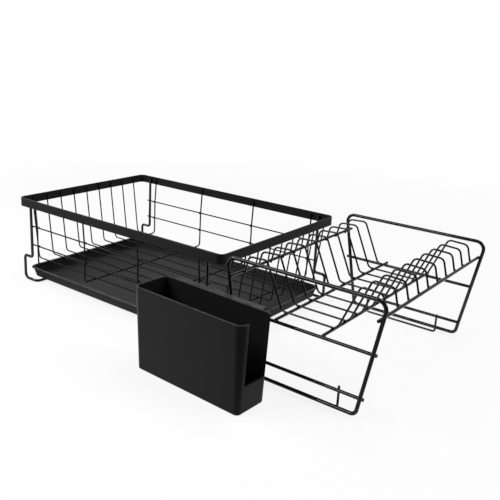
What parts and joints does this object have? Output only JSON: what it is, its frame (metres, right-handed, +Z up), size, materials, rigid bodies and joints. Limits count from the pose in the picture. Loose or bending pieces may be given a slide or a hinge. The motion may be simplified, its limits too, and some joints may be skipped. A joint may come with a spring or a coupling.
{
  "type": "dish drying rack",
  "caption": "Wire dish drying rack: a basket with a flat rim band over a slide-out drip tray, a separate plate rack with humped dividers, and a loose cutlery holder with an end slot.",
  "frame": {"origin": "middle of the bounding box's underside, on the worktop that every piece stands on", "axes": "+X from the basket to the plate rack, +Y from the cutlery holder's side to the back, +Z up"},
  "size_m": [0.6732, 0.4008, 0.1522],
  "materials": {
    "wire_coating": "black powder coat on steel wire, semi-gloss",
    "band_coating": "black powder coat on flat steel band, matte",
    "tray_plastic": "moulded dark grey plastic, matte",
    "holder_plastic": "moulded black plastic, satin"
  },
  "bodies": {
    "basket": {"rim_band": "band_coating", "left_leg_hoop": "wire_coating", "right_leg_hoop": "wire_coating", "cross_wire_1": "wire_coating", "cross_wire_2": "wire_coating", "cross_wire_3": "wire_coating", "cross_wire_4": "wire_coating", "long_wire_1": "wire_coating", "long_wire_2": "wire_coating", "long_wire_3": "wire_coating", "long_wire_4": "wire_coating", "long_wire_5": "wire_coating", "long_wire_6": "wire_coating", "long_wire_7": "wire_coating", "long_wire_8": "wire_coating", "long_wire_9": "wire_coating", "front_upper_rail": "wire_coating", "front_lower_rail": "wire_coating", "back_upper_rail": "wire_coating", "back_lower_rail": "wire_coating"},
    "drip_tray": {"drip_tray": "tray_plastic"},
    "cutlery_holder": {"cutlery_holder": "holder_plastic"},
    "plate_rack": {"front_side_loop": "wire_coating", "back_side_loop": "wire_coating", "front_mid_bar": "wire_coating", "back_mid_bar": "wire_coating", "front_lower_bar": "wire_coating", "back_lower_bar": "wire_coating", "front_foot_wire": "wire_coating", "back_foot_wire": "wire_coating", "left_upper_rod": "wire_coating", "right_upper_rod": "wire_coating", "left_floor_rod": "wire_coating", "right_floor_rod": "wire_coating", "divider_1": "wire_coating", "divider_2": "wire_coating", "divider_3": "wire_coating", "divider_4": "wire_coating", "divider_5": "wire_coating", "divider_6": "wire_coating", "divider_7": "wire_coating", "divider_8": "wire_coating", "divider_9": "wire_coating", "divider_10": "wire_coating"}
  },
  "joints": [
    {"name": "tray_slide", "type": "slide", "parent": "basket", "child": "drip_tray", "axis": [0, 1, 0], "range_m": [-0.035, 0.27]},
    {"name": "holder_lift", "type": "slide", "parent": "basket", "child": "cutlery_holder", "axis": [0, 0, 1], "range_m": [0, 0.2]},
    {"name": "rack_shift", "type": "slide", "parent": "basket", "child": "plate_rack", "axis": [1, 0, 0], "range_m": [0, 0.2]}
  ]
}
